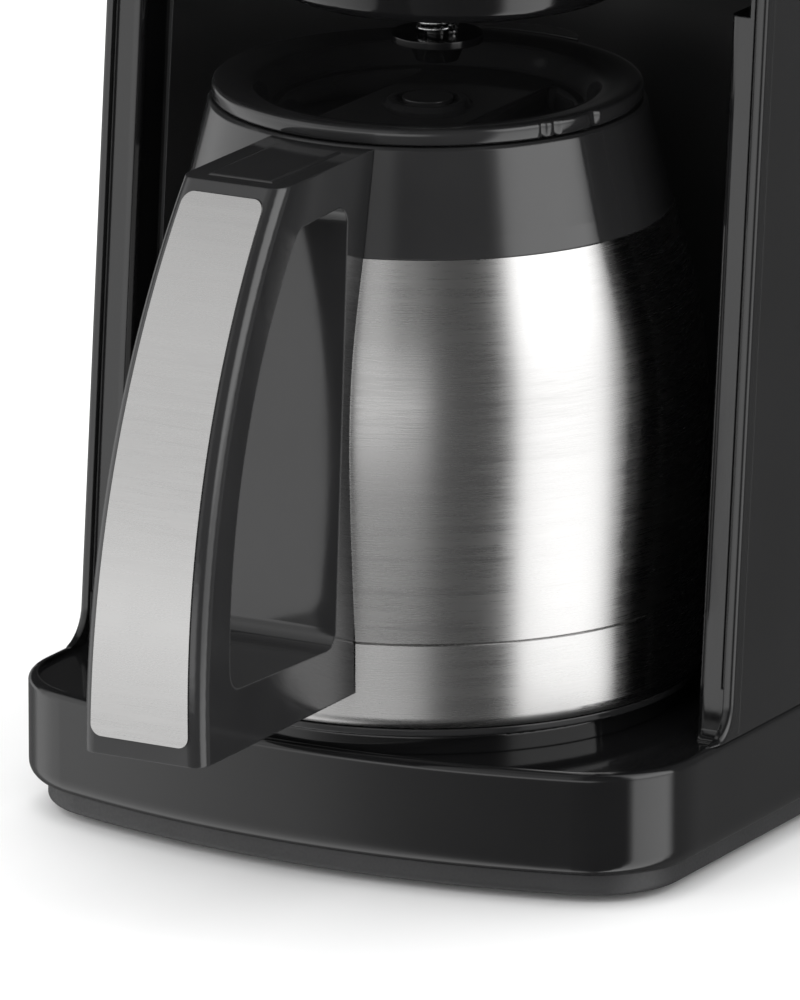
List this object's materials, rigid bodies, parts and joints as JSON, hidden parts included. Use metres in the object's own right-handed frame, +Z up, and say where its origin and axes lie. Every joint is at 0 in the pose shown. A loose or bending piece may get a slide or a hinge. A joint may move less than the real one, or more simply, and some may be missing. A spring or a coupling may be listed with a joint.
{
  "type": "drip coffee maker",
  "caption": "Drip coffee maker with an insulated steel carafe, pull-out brew basket, hinged fill lid and front keys.",
  "frame": {"origin": "on the counter, below the axis of the carafe, which is the middle of the whole object's footprint", "axes": "+Z up, +Y towards the back of the machine, +X to the right as seen from the front"},
  "size_m": [0.194, 0.3001, 0.368],
  "materials": {
    "gloss_black_shell": "high gloss moulded black plastic",
    "alcove_black": "gloss moulded black plastic",
    "panel_black": "piano black",
    "matte_black_plastic": "fine spark-eroded texture",
    "basket_black": "high gloss black plastic",
    "carafe_black": "gloss black plastic",
    "brushed_steel": "horizontally brushed stainless steel",
    "satin_steel": "satin stainless steel",
    "display_glass": "dark tinted window",
    "display_dark": "unlit liquid crystal display",
    "circuit_board": "solder-mask green",
    "switch_grey": "moulded grey",
    "button_grey": "satin dark grey",
    "smoked_tank": "smoked clear plastic",
    "valve_white": "natural nylon",
    "silicone_hose": "translucent silicone",
    "cast_aluminium": "as extruded",
    "zinc_steel": "zinc plated",
    "thermostat_body": "phenolic black",
    "spring_steel": "drawn stainless wire",
    "black_rubber": "black rubber"
  },
  "bodies": {
    "root": {"base_tray": "gloss_black_shell", "left_pillar_trim": "gloss_black_shell", "right_pillar_trim": "gloss_black_shell", "left_side_panel": "gloss_black_shell", "right_side_panel": "gloss_black_shell", "head_shell": "gloss_black_shell", "top_deck": "gloss_black_shell", "rest_plate": "gloss_black_shell", "alcove_liner": "alcove_black", "control_panel": "panel_black", "bottom_cover": "matte_black_plastic", "rear_cover": "matte_black_plastic", "basket_rails": "matte_black_plastic", "shower_head": "matte_black_plastic", "cord_gland": "matte_black_plastic", "display_window": "display_glass", "display_module": "display_dark", "control_board": "circuit_board", "power_board": "circuit_board", "tact_switches": "switch_grey", "water_tank": "smoked_tank", "check_valve": "valve_white", "inlet_hose": "silicone_hose", "riser_hose": "silicone_hose", "heater_body": "cast_aluminium", "base_screws": "zinc_steel", "rear_screws": "zinc_steel", "lid_hinge_pin": "zinc_steel", "heater_bracket": "zinc_steel", "thermal_fuse": "zinc_steel", "thermostat": "thermostat_body", "rubber_feet": "black_rubber"},
    "brew_basket_slide": {"basket_door": "gloss_black_shell", "basket_carrier": "matte_black_plastic", "brew_basket": "basket_black", "valve_spring": "spring_steel"},
    "drip_valve": {"valve_stem": "basket_black", "valve_seal": "black_rubber"},
    "lid_flap": {"top_lid": "gloss_black_shell"},
    "carafe": {"carafe_shell": "brushed_steel", "carafe_base_cup": "brushed_steel", "carafe_foot_ring": "carafe_black", "carafe_liner": "satin_steel", "carafe_liner_neck": "satin_steel", "carafe_collar": "carafe_black", "carafe_handle": "carafe_black", "handle_cap": "carafe_black", "handle_screws": "zinc_steel", "handle_inlay": "brushed_steel"},
    "carafe_lid": {"lid_top": "carafe_black", "lid_plug": "carafe_black", "lid_gasket": "black_rubber", "lid_valve_disc": "carafe_black"},
    "power_key": {"power_button": "button_grey"},
    "strength_key": {"strength_button": "button_grey"},
    "clean_key": {"clean_button": "button_grey"},
    "hour_key": {"hour_button": "button_grey"},
    "minute_key": {"minute_button": "button_grey"}
  },
  "joints": [
    {"name": "basket_pull", "type": "slide", "parent": "root", "child": "brew_basket_slide", "axis": [0, -1, 0], "range_m": [0, 0.15]},
    {"name": "drip_valve_lift", "type": "slide", "parent": "brew_basket_slide", "child": "drip_valve", "axis": [0, 0, 1], "range_m": [0, 0.003], "stiffness_N_per_m": 150, "springref_m": -0.002, "deforming": ["valve_spring"]},
    {"name": "top_lid_hinge", "type": "hinge", "parent": "root", "child": "lid_flap", "pos_m": [0, 0.134, 0.366], "axis": [-1, 0, 0], "range_deg": [0, 95]},
    {"name": "carafe_pull", "type": "slide", "parent": "root", "child": "carafe", "axis": [0, -1, 0], "range_m": [0, 0.24]},
    {"name": "carafe_lid_turn", "type": "hinge", "parent": "carafe", "child": "carafe_lid", "pos_m": [0, 0, 0.1945], "axis": [0, 0, 1], "range_deg": [0, 35]},
    {"name": "power_press", "type": "slide", "parent": "root", "child": "power_key", "axis": [0, 1, 0], "range_m": [0, 0.0012], "stiffness_N_per_m": 900},
    {"name": "strength_press", "type": "slide", "parent": "root", "child": "strength_key", "axis": [0, 1, 0], "range_m": [0, 0.0012], "stiffness_N_per_m": 900},
    {"name": "clean_press", "type": "slide", "parent": "root", "child": "clean_key", "axis": [0, 1, 0], "range_m": [0, 0.0012], "stiffness_N_per_m": 900},
    {"name": "hour_press", "type": "slide", "parent": "root", "child": "hour_key", "axis": [0, 1, 0], "range_m": [0, 0.0012], "stiffness_N_per_m": 900},
    {"name": "minute_press", "type": "slide", "parent": "root", "child": "minute_key", "axis": [0, 1, 0], "range_m": [0, 0.0012], "stiffness_N_per_m": 900}
  ]
}
